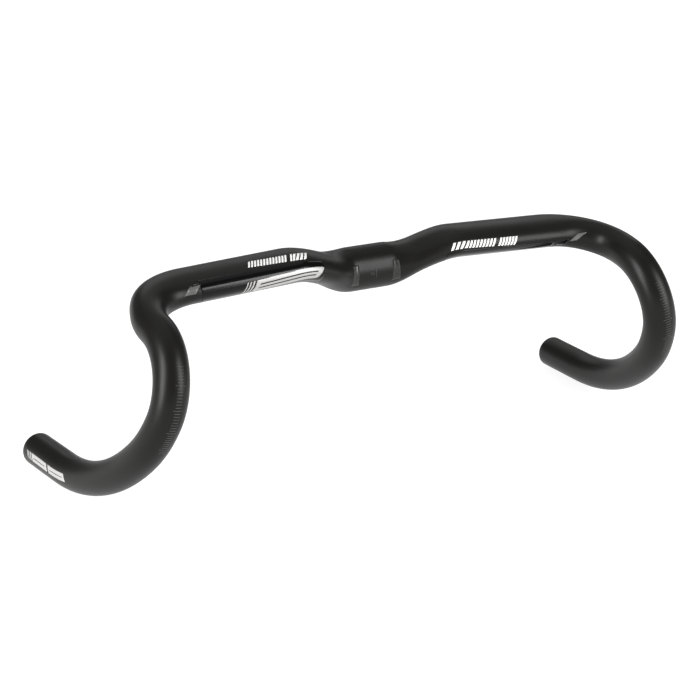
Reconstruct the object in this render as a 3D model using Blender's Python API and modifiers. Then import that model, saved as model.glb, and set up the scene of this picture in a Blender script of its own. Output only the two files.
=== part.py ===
"""Drop handlebar: one butted alloy tube with flattened tops and flared drops, and its printed films.

The frame has its origin at the centre of the stem clamp zone, +X to the rider's right, +Y forward
and +Z up. The tube is cut at its forming tangents into short lengths, each a hollow shell of its own.
Sizes are in millimetres and degrees, and mesh points are turned into metres where they are made.
"""

import math
from typing import NamedTuple

import bmesh
import bpy
from mathutils import Matrix, Vector

METRE = 0.001  # one millimetre in metres

# Tube sizes
CLAMP_RADIUS = 15.9
GRIP_RADIUS = 11.9
WALL = 1.6
WING_HALF_CHORD = 21.5
WING_HALF_THICKNESS = 11.2

# The tops: a round clamp zone, a shoulder that flattens and lifts the tube, then the wing
CLAMP_HALF = 14.0
FLATTEN_LENGTH = 26.0  # the section changes over this length from the clamp zone's end
LIFT_START = 15.5
LIFT_LENGTH = 52.0
TOP_RISE = 13.5
TOP_ADVANCE = 8.0
TOP_SWEEP = 1.5
TOP_DROOP = 2.0
CORNER_START = 144.0

# The drops: a corner, a short ramp, three hook arcs and a straight end
CORNER_RADIUS = 44.5
FLARE = 12.5
TOE_IN = 3.0
RAMP_PITCH = 11.5
RAMP_LENGTH = 4.0
HOOK_RADIUS, HOOK_TURN = 39.0, 101.0
LOWER_RADIUS, LOWER_TURN = 83.0, 22.5
TAIL_RADIUS, TAIL_TURN = 154.0, 43.5
DROP_LENGTH = 45.0

# How the pieces are made
SIDES = 24
CUT_GAP = 0.4  # between two lengths of tube
RING_STEPS = {  # the most that two rings of a length of tube may lie apart
    "shoulder": 5.0, "wing": 26.0, "corner": 6.0, "hook": 5.0, "lower_bend": 12.0, "drop_end": 15.0,
}
FILM_GAP = 0.35  # between a film and the tube
FILM_THICKNESS = 0.2
BADGE_LIFT = 0.75  # the badge lies on the stripe's film
FILM_STEP = 10.0  # degrees round the tube between two points of a film
FILM_REACH = 4.0  # the same along the tube
ROUND_AT = 0.8  # the share of the corner's turn by which the wing has become round

COLOURS = {  # base colour, roughness, metallic
    "satin_black": ((0.016, 0.016, 0.018), 0.42, 0.0),
    "gloss_black": ((0.006, 0.006, 0.007), 0.12, 0.0),
    "silver_film": ((0.62, 0.61, 0.59), 0.28, 0.9),
    "white_ink": ((0.78, 0.78, 0.76), 0.5, 0.0),
    "grey_ink": ((0.16, 0.16, 0.16), 0.5, 0.0),
}


class Film(NamedTuple):
    """A patch of film: where it lies along the bar and round it, and its finish.

    slant moves its upper edge further along the bar, and twist turns its far end round it.
    """

    along: tuple
    angles: tuple
    finish: str
    slant: float = 0.0
    twist: float = 0.0
    lift: float = FILM_GAP


FILMS_OF_BOTH_SIDES = {
    "clamp_scale": Film((13.6, 20.2), (-29, 26), "grey_ink"),
    "hook_scale": Film((250, 300), (46, 80), "grey_ink"),
}
RIGHT_FILMS = {
    "right_wing_stripe": Film((50, 140), (-44, 36), "gloss_black", slant=2, twist=8),
    "right_stripe_tip": Film((152, 166), (4, 34), "gloss_black", slant=-9),
    "right_name_strip": Film((62, 103), (45, 68), "white_ink", slant=-3),
    "wing_badge": Film((55, 112), (-26, 19), "silver_film", twist=-15, lift=BADGE_LIFT),
    "drop_end_badge": Film((411, 470), (134, 161), "silver_film"),
    "centre_mark": Film((-0.5, 0.5), (-13, 9), "white_ink"),
}
LEFT_FILMS = {
    "left_wing_stripe": Film((52, 140), (-75, -10), "gloss_black", slant=2, twist=-8),
    "left_stripe_tip": Film((150, 164), (-34, 14), "gloss_black", slant=9),
    "left_name_strip": Film((57, 106), (-4, 23), "white_ink", slant=2),
}


class Station(NamedTuple):
    """One cross-section of the tube: its centre, two unit directions across it and two half sizes."""

    centre: Vector
    forward: Vector
    up: Vector
    half_chord: float
    half_thickness: float


class Bend(NamedTuple):
    """A stretch of tube below the tops: its length, and the radius and axis it turns about, if any."""

    length: float
    radius: float
    axis: Vector


def smooth(share):
    share = min(max(share, 0.0), 1.0)
    return share * share * (3 - 2 * share)


def top_centre(x):
    """The middle of the tube at a distance x to the side."""
    share = min(max((x - LIFT_START) / LIFT_LENGTH, 0.0), 1.0)
    swept = LIFT_LENGTH * (share**3 - share**4 / 2) + max(0.0, x - LIFT_START - LIFT_LENGTH)
    y = TOP_ADVANCE * smooth(share) + math.tan(math.radians(TOP_SWEEP)) * swept
    z = TOP_RISE * smooth(share) - math.tan(math.radians(TOP_DROOP)) * swept
    return Vector((x, y, z))


def top_station(x):
    tangent = (top_centre(x + 0.5) - top_centre(x - 0.5)).normalized()
    up = (Vector((0, 0, 1)) - tangent * tangent.z).normalized()
    flat = smooth((x - CLAMP_HALF) / FLATTEN_LENGTH)
    half_chord = CLAMP_RADIUS + (WING_HALF_CHORD - CLAMP_RADIUS) * flat
    half_thickness = CLAMP_RADIUS + (WING_HALF_THICKNESS - CLAMP_RADIUS) * flat
    return Station(top_centre(x), up.cross(tangent), up, half_chord, half_thickness)


def drop_bends():
    """The stretches below the tops, in order from the corner's start."""
    start = top_station(CORNER_START)
    tangent = start.forward.cross(start.up)
    toe, flare, pitch = (math.radians(a) for a in (TOE_IN, FLARE, RAMP_PITCH))
    ahead = Vector((-math.sin(toe), math.cos(toe), 0))
    down = Vector((math.sin(flare), 0, -math.cos(flare)))
    down = (down - ahead * down.dot(ahead)).normalized()
    ramp = ahead * math.cos(pitch) + down * math.sin(pitch)
    across = ahead.cross(down)
    corner_turn = tangent.angle(ramp)
    bends = [
        Bend(CORNER_RADIUS * corner_turn, CORNER_RADIUS, tangent.cross(ramp).normalized()),
        Bend(RAMP_LENGTH, 0, across),
    ]
    for radius, turn in ((HOOK_RADIUS, HOOK_TURN), (LOWER_RADIUS, LOWER_TURN), (TAIL_RADIUS, TAIL_TURN)):
        bends.append(Bend(radius * math.radians(turn), radius, across))
    bends.append(Bend(DROP_LENGTH, 0, across))
    return bends


BENDS = drop_bends()


def station(along):
    """The cross-section at a distance along the bar: x on the tops, then the length of tube beyond them."""
    if along <= CORNER_START:
        return top_station(along)
    here = top_station(CORNER_START)
    centre, forward, up = here.centre, here.forward, here.up
    left = along - CORNER_START
    round_share = smooth(left / (BENDS[0].length * ROUND_AT))
    for bend in BENDS:
        length = min(left, bend.length) if bend is not BENDS[-1] else left
        tangent = forward.cross(up)
        if bend.radius:
            pivot = centre + bend.axis.cross(tangent) * bend.radius
            turn = Matrix.Rotation(length / bend.radius, 3, bend.axis)
            centre = pivot + turn @ (centre - pivot)
            forward, up = turn @ forward, turn @ up
        else:
            centre = centre + tangent * length
        left -= length
        if left <= 0:
            break
    half_chord = WING_HALF_CHORD + (GRIP_RADIUS - WING_HALF_CHORD) * round_share
    half_thickness = WING_HALF_THICKNESS + (GRIP_RADIUS - WING_HALF_THICKNESS) * round_share
    return Station(centre, forward, up, half_chord, half_thickness)


def surface_point(at, angle, lift=0.0):
    """A point round a cross-section, with 0 degrees at the front edge and 90 at the top."""
    turn = math.radians(angle)
    ahead = at.forward * (at.half_chord + lift) * math.cos(turn)
    return at.centre + ahead + at.up * (at.half_thickness + lift) * math.sin(turn)


def spread(low, high, most_step):
    """Evenly spaced values from low to high, no further apart than most_step."""
    count = max(1, math.ceil((high - low) / most_step - 1e-6))
    return [low + (high - low) * i / count for i in range(count + 1)]


def material(name):
    colour, roughness, metallic = COLOURS[name]
    made = bpy.data.materials.get(name) or bpy.data.materials.new(name)
    made.use_nodes = True
    shader = made.node_tree.nodes["Principled BSDF"]
    shader.inputs["Base Color"].default_value = (*colour, 1)
    shader.inputs["Roughness"].default_value = roughness
    shader.inputs["Metallic"].default_value = metallic
    return made


def shell(name, rings, closed, side, thickness, offset, finish, collection):
    """A lofted surface through rings of points, given a wall by Solidify. side is -1 for a mirrored copy."""
    bm = bmesh.new()
    rows = [[bm.verts.new(Vector((p.x * side, p.y, p.z)) * METRE) for p in ring] for ring in rings]
    count = len(rings[0])
    for row, ahead in zip(rows, rows[1:]):
        for i in range(count if closed else count - 1):
            j = (i + 1) % count
            quad = (row[i], ahead[i], ahead[j], row[j])
            bm.faces.new(quad if side < 0 else quad[::-1])
    mesh = bpy.data.meshes.new(name)
    bm.to_mesh(mesh)
    bm.free()
    mesh.materials.append(material(finish))
    mesh.shade_smooth()
    piece = bpy.data.objects.new(name, mesh)
    collection.objects.link(piece)
    wall = piece.modifiers.new("wall", "SOLIDIFY")
    wall.thickness = thickness * METRE
    wall.offset = offset
    return piece


def tube_length(name, start, end, most_step, side, collection):
    """One hollow length of the tube between two distances along it."""
    round_angles = [360 * i / SIDES for i in range(SIDES)]
    rings = [
        [surface_point(at, angle) for angle in round_angles]
        for at in map(station, spread(start + CUT_GAP / 2, end - CUT_GAP / 2, most_step))
    ]
    return shell(name, rings, True, side, WALL, -1, "satin_black", collection)


def make_film(name, film, side, collection):
    low, high = film.angles
    start, end = film.along
    columns = spread(low, high, FILM_STEP)
    rings = []
    for distance in spread(start, end, FILM_REACH):
        drift = film.twist * (distance - start) / (end - start)
        stations = [station(distance + film.slant * (angle - low) / (high - low)) for angle in columns]
        rings.append([surface_point(at, angle + drift, film.lift) for at, angle in zip(stations, columns)])
    return shell(name, rings, False, side, FILM_THICKNESS, 1, film.finish, collection)


def clamp_section(collection):
    """The straight middle that the stem holds: a plain open cylinder along X."""
    bm = bmesh.new()
    bmesh.ops.create_cone(
        bm,
        cap_ends=False,
        segments=SIDES,
        radius1=CLAMP_RADIUS * METRE,
        radius2=CLAMP_RADIUS * METRE,
        depth=(2 * CLAMP_HALF - CUT_GAP) * METRE,
        matrix=Matrix.Rotation(math.radians(90), 4, "Y"),
    )
    mesh = bpy.data.meshes.new("clamp_section")
    bm.to_mesh(mesh)
    bm.free()
    mesh.materials.append(material("satin_black"))
    mesh.shade_smooth()
    piece = bpy.data.objects.new("clamp_section", mesh)
    collection.objects.link(piece)
    wall = piece.modifiers.new("wall", "SOLIDIFY")
    wall.thickness = WALL * METRE
    wall.offset = -1
    return piece


def main():
    for old in list(bpy.data.objects):
        bpy.data.objects.remove(old, do_unlink=True)
    collection = bpy.data.collections.new("drop_handlebar")
    bpy.context.scene.collection.children.link(collection)

    ends = [CORNER_START]
    for bend in BENDS:
        ends.append(ends[-1] + bend.length)
    shoulder_end = LIFT_START + LIFT_LENGTH
    corner_end, hook_end, tail_end, bar_end = ends[1], ends[3], ends[5], ends[6] + CUT_GAP / 2

    clamp_section(collection)
    marks = {
        "shoulder": (CLAMP_HALF, shoulder_end),
        "wing": (shoulder_end, CORNER_START),
        "corner": (CORNER_START, corner_end),
        "hook": (corner_end, hook_end),
        "lower_bend": (hook_end, tail_end),
        "drop_end": (tail_end, bar_end),
    }
    for side, hand, films in ((1, "right", RIGHT_FILMS), (-1, "left", LEFT_FILMS)):
        for name, (start, end) in marks.items():
            tube_length(f"{hand}_{name}", start, end, RING_STEPS[name], side, collection)
        for name, film in FILMS_OF_BOTH_SIDES.items():
            make_film(f"{hand}_{name}", film, side, collection)
        for name, film in films.items():
            make_film(name, film, side, collection)


main()
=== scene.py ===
import math

import bmesh
import bpy
from mathutils import Matrix, Vector


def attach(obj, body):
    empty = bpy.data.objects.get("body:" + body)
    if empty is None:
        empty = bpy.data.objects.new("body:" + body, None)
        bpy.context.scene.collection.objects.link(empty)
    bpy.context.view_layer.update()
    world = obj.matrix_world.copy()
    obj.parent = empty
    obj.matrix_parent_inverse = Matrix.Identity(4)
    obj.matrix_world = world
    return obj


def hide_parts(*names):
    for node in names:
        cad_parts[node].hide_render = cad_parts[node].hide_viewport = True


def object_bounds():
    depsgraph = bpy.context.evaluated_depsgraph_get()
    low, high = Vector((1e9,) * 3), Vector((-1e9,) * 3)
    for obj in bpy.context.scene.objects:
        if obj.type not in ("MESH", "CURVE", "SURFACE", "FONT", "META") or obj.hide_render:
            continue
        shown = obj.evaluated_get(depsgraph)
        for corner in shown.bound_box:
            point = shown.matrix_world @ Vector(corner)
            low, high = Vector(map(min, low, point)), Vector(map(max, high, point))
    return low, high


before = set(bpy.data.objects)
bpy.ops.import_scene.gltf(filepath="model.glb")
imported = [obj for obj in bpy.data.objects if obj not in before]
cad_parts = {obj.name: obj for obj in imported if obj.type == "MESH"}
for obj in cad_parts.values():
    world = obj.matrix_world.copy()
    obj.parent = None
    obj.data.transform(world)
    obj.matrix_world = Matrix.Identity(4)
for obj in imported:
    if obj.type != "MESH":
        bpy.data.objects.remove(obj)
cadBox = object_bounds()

# Lengths are in metres and turns in degrees. The bar's centre is the middle of the stem clamp zone, with
# +X to the rider's right, +Y forward and +Z up. "along" is the distance along the bar from its middle, and
# "angle" goes round the tube, with 0 at its front edge and 90 on top.

# ---- the bar's line and section

barLine = {
    "clampRadius": 0.0159,
    "gripRadius": 0.0119,
    "wingHalfChord": 0.0215,
    "wingHalfThickness": 0.0112,
    "clampHalf": 0.0140,
    "flatten": 0.0260,  # the section changes over this length from the clamp zone's end
    "liftStart": 0.0155,
    "lift": 0.0520,
    "rise": 0.0135,
    "advance": 0.0080,
    "sweep": 1.5,
    "droop": 2.0,
    "cornerStart": 0.1440,
    "cornerRadius": 0.0445,
    "roundAt": 0.8,  # the wing is round again this far into the corner
    "flare": 12.5,
    "toeIn": 3.0,
    "rampPitch": 11.5,
    "ramp": 0.0040,
    "hookArcs": ((0.0390, 101.0), (0.0830, 22.5), (0.1540, 43.5)),  # radius and turn
    "dropEnd": 0.0450,
    "tangentReach": 0.0005,  # how far to each side the direction of the tops is measured
}


def easeInOut(share):
    share = min(max(share, 0.0), 1.0)
    return share * share * (3 - 2 * share)


def topCentre(x):
    # the shoulder lifts the tube and moves it forward, and the wing then sweeps and droops
    share = min(max((x - barLine["liftStart"]) / barLine["lift"], 0.0), 1.0)
    past = max(0.0, x - barLine["liftStart"] - barLine["lift"])
    swept = barLine["lift"] * (share ** 3 - share ** 4 / 2) + past
    y = barLine["advance"] * easeInOut(share) + math.tan(math.radians(barLine["sweep"])) * swept
    z = barLine["rise"] * easeInOut(share) - math.tan(math.radians(barLine["droop"])) * swept
    return Vector((x, y, z))


def frameFrom(centre, forward, up):
    # columns: across the tube to its front edge, across to its top, and along it
    tangent = forward.cross(up)
    return Matrix((
        (forward.x, up.x, tangent.x, centre.x),
        (forward.y, up.y, tangent.y, centre.y),
        (forward.z, up.z, tangent.z, centre.z),
        (0, 0, 0, 1),
    ))


def topFrame(x):
    reach = barLine["tangentReach"]
    tangent = (topCentre(x + reach) - topCentre(x - reach)).normalized()
    up = (Vector((0, 0, 1)) - tangent * tangent.z).normalized()
    return frameFrom(topCentre(x), up.cross(tangent), up)


def dropStretches():
    # each stretch below the tops: its length, the radius it bends to (0 when straight), and the axis it
    # bends about
    tangent = topFrame(barLine["cornerStart"]).to_3x3().col[2]
    toe, flare, pitch = (math.radians(barLine[key]) for key in ("toeIn", "flare", "rampPitch"))
    ahead = Vector((-math.sin(toe), math.cos(toe), 0))
    down = Vector((math.sin(flare), 0, -math.cos(flare)))
    down = (down - ahead * down.dot(ahead)).normalized()
    rampWay = ahead * math.cos(pitch) + down * math.sin(pitch)
    across = ahead.cross(down)
    radius = barLine["cornerRadius"]
    stretches = [
        (radius * tangent.angle(rampWay), radius, tangent.cross(rampWay).normalized()),
        (barLine["ramp"], 0, across),
    ]
    for radius, turn in barLine["hookArcs"]:
        stretches.append((radius * math.radians(turn), radius, across))
    stretches.append((barLine["dropEnd"], 0, across))
    return stretches


stretches = dropStretches()
barEnd = barLine["cornerStart"] + sum(length for length, radius, axis in stretches)


def frameAt(along):
    if along <= barLine["cornerStart"]:
        return topFrame(along)
    here = topFrame(barLine["cornerStart"])
    left = along - barLine["cornerStart"]
    for number, (length, radius, axis) in enumerate(stretches):
        step = left if number == len(stretches) - 1 else min(left, length)
        tangent = here.to_3x3().col[2]
        if radius:
            pivot = here.translation + axis.cross(tangent) * radius
            turn = Matrix.Rotation(step / radius, 4, axis)
            here = Matrix.Translation(pivot) @ turn @ Matrix.Translation(-pivot) @ here
        else:
            here = Matrix.Translation(tangent * step) @ here
        left -= step
        if left <= 0:
            break
    return here


def halfSizes(along):
    # half the section's width from front to back, and half its height
    clamp, grip = barLine["clampRadius"], barLine["gripRadius"]
    wing = (barLine["wingHalfChord"], barLine["wingHalfThickness"])
    if along <= barLine["cornerStart"]:
        flat = easeInOut((along - barLine["clampHalf"]) / barLine["flatten"])
        return tuple(clamp + (size - clamp) * flat for size in wing)
    roundedOver = stretches[0][0] * barLine["roundAt"]
    rounded = easeInOut((along - barLine["cornerStart"]) / roundedOver)
    return tuple(size + (grip - size) * rounded for size in wing)


def onTube(along, angle, height=0.0):
    # a point on the right half of the tube, lifted by height
    chord, thickness = halfSizes(along)
    turn = math.radians(angle)
    skin = Vector((chord * math.cos(turn), thickness * math.sin(turn), 0))
    outward = Vector((math.cos(turn) / chord, math.sin(turn) / thickness, 0)).normalized()
    return frameAt(along) @ (skin + outward * height)


def evenSteps(low, high, step):
    count = max(1, math.ceil((high - low) / step - 1e-6))
    return [low + (high - low) * number / count for number in range(count + 1)]


# ---- materials

grainLook = {
    "layers": {"Fine Scale": (5200.0, 2.0), "Coarse Scale": (900.0, 3.0), "Smudge Scale": (14.0, 4.0)},
    "fineShare": 0.6,  # of the coarse grain's height
    "smudgeRange": (0.3, 0.7),  # the part of the slow mask that the roughness follows
    "bumpDistance": 0.0001,
}


def makeGrainGroup():
    # a fine blasted grain: a bump height, and a mask that changes slowly over the surface
    group = bpy.data.node_groups.new("blastedGrain", "ShaderNodeTree")
    for name, (scale, detail) in grainLook["layers"].items():
        socket = group.interface.new_socket(name, in_out="INPUT", socket_type="NodeSocketFloat")
        socket.default_value = scale
    for name in ("Height", "Smudge"):
        group.interface.new_socket(name, in_out="OUTPUT", socket_type="NodeSocketFloat")
    nodes, links = group.nodes, group.links
    inlet = nodes.new("NodeGroupInput")
    outlet = nodes.new("NodeGroupOutput")
    place = nodes.new("ShaderNodeTexCoord")
    noises = {}
    for name, (scale, detail) in grainLook["layers"].items():
        noise = nodes.new("ShaderNodeTexNoise")
        noise.inputs["Detail"].default_value = detail
        links.new(place.outputs["Object"], noise.inputs["Vector"])
        links.new(inlet.outputs[name], noise.inputs["Scale"])
        noises[name] = noise.outputs["Fac"]
    height = nodes.new("ShaderNodeMath")
    height.operation = "MULTIPLY_ADD"
    height.inputs[1].default_value = grainLook["fineShare"]
    links.new(noises["Fine Scale"], height.inputs[0])
    links.new(noises["Coarse Scale"], height.inputs[2])
    links.new(height.outputs[0], outlet.inputs["Height"])
    links.new(noises["Smudge Scale"], outlet.inputs["Smudge"])
    return group


grainGroup = makeGrainGroup()

finishes = {  # two colours and two roughnesses that the slow mask runs between, then single values
    "satinBlack": {
        "dark": (0.005, 0.0048, 0.0045), "light": (0.008, 0.0077, 0.0072), "rough": (0.34, 0.42),
        "bump": 0.12, "metallic": 0.0, "specular": 0.17,
    },
    "glossBlack": {
        "dark": (0.002, 0.002, 0.002), "light": (0.003, 0.003, 0.003), "rough": (0.13, 0.17),
        "bump": 0.01, "metallic": 0.0, "specular": 0.18,
    },
    "smokeFilm": {
        "dark": (0.085, 0.085, 0.083), "light": (0.105, 0.105, 0.102), "rough": (0.14, 0.2),
        "bump": 0.01, "metallic": 0.0, "specular": 0.5,
    },
    "silverFilm": {
        "dark": (0.38, 0.376, 0.368), "light": (0.44, 0.436, 0.427), "rough": (0.34, 0.44),
        "bump": 0.03, "metallic": 0.15, "specular": 0.5,
    },
    "whiteInk": {
        "dark": (0.7, 0.7, 0.685), "light": (0.8, 0.8, 0.785), "rough": (0.48, 0.58),
        "bump": 0.05, "metallic": 0.0, "specular": 0.4,
    },
    "greyInk": {
        "dark": (0.032, 0.0315, 0.031), "light": (0.044, 0.0435, 0.0425), "rough": (0.42, 0.5),
        "bump": 0.05, "metallic": 0.0, "specular": 0.4,
    },
    "frostFilm": {
        "dark": (0.014, 0.0137, 0.0133), "light": (0.02, 0.0196, 0.019), "rough": (0.26, 0.32),
        "bump": 0.03, "metallic": 0.0, "specular": 0.32,
    },
}


def makeFinish(name):
    look = finishes[name]
    material = bpy.data.materials.new(name)
    material.use_nodes = True
    nodes, links = material.node_tree.nodes, material.node_tree.links
    shader = nodes["Principled BSDF"]
    shader.inputs["Metallic"].default_value = look["metallic"]
    shader.inputs["Specular IOR Level"].default_value = look["specular"]
    grain = nodes.new("ShaderNodeGroup")
    grain.node_tree = grainGroup
    colour = nodes.new("ShaderNodeMix")
    colour.data_type = "RGBA"
    colour.inputs["A"].default_value = (*look["dark"], 1)
    colour.inputs["B"].default_value = (*look["light"], 1)
    links.new(grain.outputs["Smudge"], colour.inputs["Factor"])
    links.new(colour.outputs["Result"], shader.inputs["Base Color"])
    rough = nodes.new("ShaderNodeMapRange")
    rough.inputs["From Min"].default_value, rough.inputs["From Max"].default_value = grainLook["smudgeRange"]
    rough.inputs["To Min"].default_value, rough.inputs["To Max"].default_value = look["rough"]
    links.new(grain.outputs["Smudge"], rough.inputs["Value"])
    links.new(rough.outputs["Result"], shader.inputs["Roughness"])
    bump = nodes.new("ShaderNodeBump")
    bump.inputs["Strength"].default_value = look["bump"]
    bump.inputs["Distance"].default_value = grainLook["bumpDistance"]
    links.new(grain.outputs["Height"], bump.inputs["Height"])
    links.new(bump.outputs["Normal"], shader.inputs["Normal"])
    return material


materials = {name: makeFinish(name) for name in finishes}
print("materials ready:", ", ".join(materials))


def finishPiece(bm, name, look, nodes):
    mesh = bpy.data.meshes.new(name)
    bm.to_mesh(mesh)
    bm.free()
    mesh.materials.append(materials[look])
    mesh.shade_smooth()
    piece = bpy.data.objects.new(name, mesh)
    bpy.context.scene.collection.objects.link(piece)
    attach(piece, "root")
    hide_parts(*nodes)
    return piece


# ---- the tube

tubeSkin = {
    "wall": 0.0016,
    "sides": 96,
    "topStep": 0.0022,
    "bendStep": 0.0022,
    "straightStep": 0.0060,
    "boreStep": 0.0080,
    "lip": 0.00035,  # rounding of the cut ends
    "lipSteps": 4,
    "merge": 0.00001,
}


def tubeRings():
    # every ring of the half bar: out along the skin, round the cut end, and back along the bore
    line, skin = barLine, tubeSkin
    shoulderEnd = line["liftStart"] + line["lift"]
    marks = [0.0, line["clampHalf"], shoulderEnd, line["cornerStart"]]
    steps = [skin["straightStep"], skin["topStep"], skin["straightStep"]]
    for length, radius, axis in stretches:
        marks.append(marks[-1] + length)
        steps.append(skin["bendStep"] if radius else skin["straightStep"])
    marks[-1] -= skin["lip"]
    outer = [0.0]
    for low, high, step in zip(marks, marks[1:], steps):
        outer += evenSteps(low, high, step)[1:]
    rings = [(along, 0.0) for along in outer]
    lip, wall = skin["lip"], skin["wall"]
    for depth in (0.0, wall - 2 * lip):  # the outer edge, then the inner one
        for number in range(skin["lipSteps"] + 1):
            turn = math.pi / 2 * (number / skin["lipSteps"] + (1 if depth else 0))
            rings.append((barEnd - lip + lip * math.sin(turn), depth + lip * (1 - math.cos(turn))))
    del rings[len(outer)]  # it would repeat the skin's last ring
    inner = evenSteps(0.0, barEnd - lip, skin["boreStep"])[-2::-1]
    return rings + [(along, wall) for along in inner]


def ringMatrix(along, inset):
    chord, thickness = halfSizes(along)
    return frameAt(along) @ Matrix.Diagonal((chord - inset, thickness - inset, 1, 1))


def makeTube():
    bm = bmesh.new()
    rings = tubeRings()
    here = ringMatrix(*rings[0])
    bmesh.ops.create_circle(bm, segments=tubeSkin["sides"], radius=1, matrix=here)
    edges = list(bm.edges)
    for along, inset in rings[1:]:
        there = ringMatrix(along, inset)
        made = bmesh.ops.extrude_edge_only(bm, edges=edges)["geom"]
        verts = [item for item in made if isinstance(item, bmesh.types.BMVert)]
        fresh = set(verts)
        edges = [item for item in made
                 if isinstance(item, bmesh.types.BMEdge) and fresh.issuperset(item.verts)]
        bmesh.ops.transform(bm, matrix=there @ here.inverted(), verts=verts)
        here = there
    bmesh.ops.mirror(bm, geom=bm.verts[:] + bm.edges[:] + bm.faces[:], axis="X",
                     merge_dist=tubeSkin["merge"])
    bmesh.ops.remove_doubles(bm, verts=bm.verts[:], dist=tubeSkin["merge"])
    bmesh.ops.recalc_face_normals(bm, faces=bm.faces[:])
    nodes = ["clamp_section"]
    for hand in ("right", "left"):
        for length in ("shoulder", "wing", "corner", "hook", "lower_bend", "drop_end"):
            nodes.append(f"{hand}_{length}")
    return finishPiece(bm, "handlebar_tube", "satinBlack", nodes)


makeTube()
print("tube made, with its cut ends and bore")

# ---- films and prints, drawn flat and then wrapped on the tube

filmBuild = {
    "millimetre": 0.001,
    "degree": 0.25,  # millimetres on the flat drawing for one degree round the tube
    "sliceAlong": 1.5,
    "sliceRound": 1.0,
    "above": 0.00006,
    "overlay": 0.00011,  # how high a film stands that lies on another
    "print": 0.00016,
    "below": 0.00012,  # how deep the closed underside lies in the tube
    "cornerSegments": 6,
}


def onPatch(patch, along, across):
    # turns shares into millimetres and degrees: along runs outwards from the patch's end at the clamp, and
    # across runs up from its low edge
    (inner, innerLow, innerHigh), (outer, outerLow, outerHigh) = patch["inner"], patch["outer"]
    low = innerLow + (outerLow - innerLow) * along
    high = innerHigh + (outerHigh - innerHigh) * along
    return (inner + (outer - inner) * along + patch["lean"] * across, low + (high - low) * across)


def patchShape(patch, start=0.0, end=1.0, low=0.0, high=1.0):
    return [onPatch(patch, *share) for share in ((start, low), (end, low), (end, high), (start, high))]


def addOutline(bm, corners, rounding):
    verts = [bm.verts.new((along, angle * filmBuild["degree"], 0)) for along, angle in corners]
    bm.faces.new(verts)
    for vert, radius in zip(verts, rounding):
        if radius:
            bmesh.ops.bevel(bm, geom=[vert], offset=radius, affect="VERTICES",
                            segments=filmBuild["cornerSegments"], profile=0.5, material=-1)


def wrapOnTube(bm, side, height):
    # gives the flat drawing its thickness, slices it finely and bends it round the tube
    made = bmesh.ops.extrude_face_region(bm, geom=bm.faces[:])["geom"]
    top = [item for item in made if isinstance(item, bmesh.types.BMVert)]
    bmesh.ops.translate(bm, vec=(0, 0, 1), verts=top)
    for axis, step in ((0, filmBuild["sliceAlong"]), (1, filmBuild["sliceRound"])):
        places = [vert.co[axis] for vert in bm.verts]
        for place in evenSteps(min(places), max(places), step)[1:-1]:
            cut, normal = Vector((0, 0, 0)), Vector((0, 0, 0))
            cut[axis], normal[axis] = place, 1
            geom = bm.verts[:] + bm.edges[:] + bm.faces[:]
            bmesh.ops.bisect_plane(bm, geom=geom, plane_co=cut, plane_no=normal)
    for vert in bm.verts:
        lift = height if vert.co.z > 0.5 else -filmBuild["below"]  # the top was raised to 1
        vert.co = onTube(vert.co.x * filmBuild["millimetre"], vert.co.y / filmBuild["degree"], lift)
        vert.co.x *= side
    bmesh.ops.recalc_face_normals(bm, faces=bm.faces[:])


def makeFilm(name, outlines, side, look, node, height="above", rounding=(0, 0, 0, 0)):
    bm = bmesh.new()
    for corners in outlines:
        addOutline(bm, corners, rounding)
    wrapOnTube(bm, side, filmBuild[height])
    return finishPiece(bm, name, look, [node])


# gloss black stripe on each wing, and beyond it a slanted smoke grey tip with a gloss black edge
stripes = {
    "right": {
        "side": 1,
        "stripe": {"inner": (51, -44, 35), "outer": (142, -40, 44), "lean": 2},
        "tip": {"inner": (151, 4, 30), "outer": (165, 6, 27), "lean": -9},
        "edge": {"inner": (145.5, 34, 39), "outer": (156, 27, 33), "lean": -1.5},
    },
    "left": {
        "side": -1,
        "stripe": {"inner": (52, -75, -9), "outer": (140, -78, -17), "lean": 2},
        "tip": {"inner": (163, -19, 13), "outer": (172, -12, 23), "lean": 9},
        "edge": {"inner": (144, -34, -23), "outer": (159, -34, -8), "lean": 3},
    },
}
for hand, stripe in stripes.items():
    side = stripe["side"]
    makeFilm(f"{hand}_stripe_film", [patchShape(stripe["stripe"])], side, "glossBlack",
             f"{hand}_wing_stripe", rounding=(0.8, 0.8, 0.8, 0.8))
    makeFilm(f"{hand}_tip_film", [patchShape(stripe["tip"])], side, "smokeFilm",
             f"{hand}_stripe_tip")
    makeFilm(f"{hand}_tip_edge_film", [patchShape(stripe["edge"])], side, "glossBlack",
             f"{hand}_stripe_tip")

# two groups of slanted white dashes on each wing
dashes = {
    "right": {"side": 1, "patch": {"inner": (62.5, 44, 67), "outer": (104, 52, 72), "lean": -3.6},
              "groups": ((0.0, 0.24), (0.31, 1.0))},
    "left": {"side": -1, "patch": {"inner": (57, 0, 24), "outer": (107, -9, 22), "lean": 2.6},
             "groups": ((0.0, 0.64), (0.71, 1.0))},
}
dashBuild = {"pitch": 0.058, "width": 0.034}
for hand, dash in dashes.items():
    outlines = []
    for start, end in dash["groups"]:
        for place in evenSteps(start, end - dashBuild["width"], dashBuild["pitch"]):
            outlines.append(patchShape(dash["patch"], place, place + dashBuild["width"]))
    makeFilm(f"{hand}_dash_print", outlines, dash["side"], "whiteInk", f"{hand}_name_strip")

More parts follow.
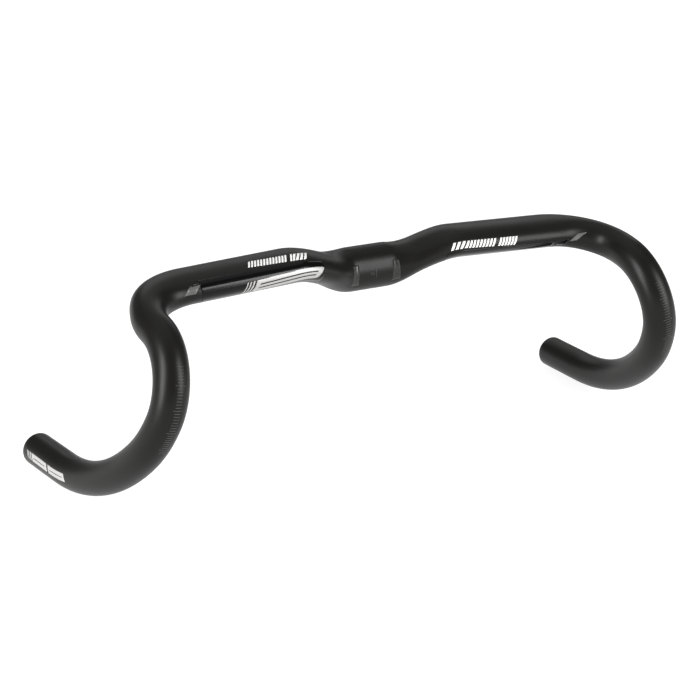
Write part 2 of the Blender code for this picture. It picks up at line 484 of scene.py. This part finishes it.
# silver badges: slanted bars at the outer end, and a panel crossed by dark pinlines
badges = {
    "wing_badge": {
        "patch": {"inner": (56.0, -25, 18), "outer": (113.0, -44, 6), "lean": -3.5},
        "panels": ((0.0, 0.86),),
        "bars": ((0.885, 0.908), (0.932, 0.951), (0.975, 0.99)),
        "pinlines": ((0.06, 0.80, 0.36), (0.06, 0.80, 0.66)),  # start, end and height up the panel
        "pinWidth": 0.10,
        "rounding": (1.8, 0, 0, 1.8),
    },
    "drop_end_badge": {
        "patch": {"inner": (411, 132, 159), "outer": (471, 135, 162), "lean": 2.5},
        "panels": ((0.0, 0.42), (0.46, 0.87)),
        "bars": ((0.895, 0.918), (0.945, 0.962), (0.985, 0.998)),
        "pinlines": ((0.05, 0.37, 0.50), (0.51, 0.82, 0.50)),
        "pinWidth": 0.09,
        "rounding": (0.6, 0, 0, 0.6),
    },
}
for node, badge in badges.items():
    patch, half = badge["patch"], badge["pinWidth"] / 2
    panels = [patchShape(patch, start, end) for start, end in badge["panels"]]
    makeFilm(f"{node}_panel", panels, 1, "silverFilm", node, "overlay", badge["rounding"])
    bars = [patchShape(patch, start, end) for start, end in badge["bars"]]
    makeFilm(f"{node}_bars", bars, 1, "silverFilm", node, "overlay")
    pinlines = [patchShape(patch, start, end, middle - half, middle + half)
                for start, end, middle in badge["pinlines"]]
    makeFilm(f"{node}_pinlines", pinlines, 1, "glossBlack", node, "print")

# faint scales: a frosted band with ruled lines at each edge of the clamp zone, and ruled lines down the
# hooks
scales = {
    "band": {"inner": (13.6, -31, 26), "outer": (20.4, -31, 26), "lean": 0},
    "bandRules": (  # place across the band, low end and high end
        (0.14, 0.30, 0.86), (0.32, 0.48, 0.92), (0.50, 0.38, 0.80), (0.68, 0.52, 0.95), (0.86, 0.30, 0.88),
    ),
    "hook": {"inner": (250, 46, 80), "outer": (300, 44, 80), "lean": 0},
    "hookRules": 32,
    "longEvery": 8,
    "firstLong": 6,
    "ruleWidth": 0.3,
    "shortRule": (0.2, 0.8),
    "centre": {"inner": (-0.2, -13, 9), "outer": (0.2, -13, 9), "lean": 0},
    "centreDots": {"inner": (1.6, -6, 2), "outer": (4.2, -6, 2), "lean": 0.4},
    "dots": (0.0, 0.4, 0.8),
    "dotWidth": 0.14,
}
hookRun = scales["hook"]["outer"][0] - scales["hook"]["inner"][0]
bandRun = scales["band"]["outer"][0] - scales["band"]["inner"][0]
for hand, side in (("right", 1), ("left", -1)):
    makeFilm(f"{hand}_clamp_band", [patchShape(scales["band"])], side, "frostFilm",
             f"{hand}_clamp_scale", rounding=(0.5, 0.5, 0.5, 0.5))
    rules = [patchShape(scales["band"], place, place + scales["ruleWidth"] / bandRun, low, high)
             for place, low, high in scales["bandRules"]]
    makeFilm(f"{hand}_clamp_rules", rules, side, "greyInk", f"{hand}_clamp_scale", "overlay")
    rules = []
    for number, place in enumerate(evenSteps(0.0, 1.0, 1 / scales["hookRules"])):
        isLong = number % scales["longEvery"] == scales["firstLong"]
        low, high = (0.0, 1.0) if isLong else scales["shortRule"]
        rules.append(patchShape(scales["hook"], place, place + scales["ruleWidth"] / hookRun, low, high))
    makeFilm(f"{hand}_hook_rules", rules, side, "greyInk", f"{hand}_hook_scale")

centreShapes = [patchShape(scales["centre"])]
for place in scales["dots"]:
    centreShapes.append(patchShape(scales["centreDots"], place, place + scales["dotWidth"]))
makeFilm("centre_mark_print", centreShapes, 1, "greyInk", "centre_mark")
print("films and prints made")

# ---- studio

camera = {
    "azimuth": 150.6,
    "elevation": 19.0,
    "roll": 0.2,
    "distance": 1.3719,
    "aside": -0.0109,
    "above": -0.0591,
    "lens": 99.4,
    "sensor": 36.0,
    "clip": (0.05, 50),
}


def makeCamera():
    azimuth, elevation, roll = (math.radians(camera[key]) for key in ("azimuth", "elevation", "roll"))
    level = Vector((math.sin(azimuth), -math.cos(azimuth), 0))
    back = level * math.cos(elevation) + Vector((0, 0, math.sin(elevation)))
    right = (-back).cross(Vector((0, 0, 1))).normalized()
    up = right.cross(-back)
    rolledRight = right * math.cos(roll) + up * math.sin(roll)
    rolledUp = up * math.cos(roll) - right * math.sin(roll)
    place = back * camera["distance"] + rolledRight * camera["aside"] + rolledUp * camera["above"]
    data = bpy.data.cameras.new("studioCamera")
    data.lens = camera["lens"]
    data.sensor_width = camera["sensor"]
    data.clip_start, data.clip_end = camera["clip"]
    obj = bpy.data.objects.new("studioCamera", data)
    turned = Matrix((rolledRight, rolledUp, back)).transposed().to_4x4()
    obj.matrix_world = Matrix.Translation(place) @ turned
    bpy.context.scene.collection.objects.link(obj)
    bpy.context.scene.camera = obj


makeCamera()

floorLook = {"halfSize": 9.0, "gap": 0.0005, "colour": (0.35, 0.35, 0.35), "glow": 0.84, "rough": 0.9}


def makeFloor():
    bm = bmesh.new()
    bmesh.ops.create_grid(bm, x_segments=1, y_segments=1, size=floorLook["halfSize"])
    bmesh.ops.translate(bm, vec=(0, 0, cadBox[0][2] - floorLook["gap"]), verts=bm.verts[:])
    mesh = bpy.data.meshes.new("studioFloor")
    bm.to_mesh(mesh)
    bm.free()
    material = bpy.data.materials.new("paleFloor")
    material.use_nodes = True
    shader = material.node_tree.nodes["Principled BSDF"]
    shader.inputs["Base Color"].default_value = (*floorLook["colour"], 1)
    shader.inputs["Roughness"].default_value = floorLook["rough"]
    shader.inputs["Specular IOR Level"].default_value = 0.0
    shader.inputs["Emission Color"].default_value = (1, 1, 1, 1)
    shader.inputs["Emission Strength"].default_value = floorLook["glow"]
    mesh.materials.append(material)
    floor = bpy.data.objects.new("studioFloor", mesh)
    bpy.context.scene.collection.objects.link(floor)


makeFloor()

lights = {
    "overhead": {"place": (0.0, -0.6, 2.4), "aim": (0, 0, 0), "size": (3.0, 2.4), "power": 13},
    "behind": {"place": (-1.1, -1.9, 0.95), "aim": (0, 0, 0), "size": (2.2, 0.8), "power": 5},
    "rightStrip": {"place": (2.1, 0.35, 0.5), "aim": (0, 0, -0.05), "size": (0.8, 2.2), "power": 88},
    "leftStrip": {"place": (-1.25, 1.75, 0.5), "aim": (0, 0, -0.05), "size": (0.8, 2.2), "power": 74},
}

roomGlow = 0.12  # the brightness of the white room around the floor


def makeLights():
    for name, light in lights.items():
        data = bpy.data.lights.new(name, "AREA")
        data.shape = "RECTANGLE"
        data.size, data.size_y = light["size"]
        data.energy = light["power"]
        obj = bpy.data.objects.new(name, data)
        obj.location = light["place"]
        facing = Vector(light["aim"]) - Vector(light["place"])
        obj.rotation_euler = facing.to_track_quat("-Z", "Y").to_euler()
        bpy.context.scene.collection.objects.link(obj)
    world = bpy.data.worlds.new("softRoom")
    world.use_nodes = True
    world.node_tree.nodes["Background"].inputs["Color"].default_value = (1, 1, 1, 1)
    world.node_tree.nodes["Background"].inputs["Strength"].default_value = roomGlow
    bpy.context.scene.world = world
    bpy.context.scene.view_settings.view_transform = "Standard"


makeLights()
print("studio ready")
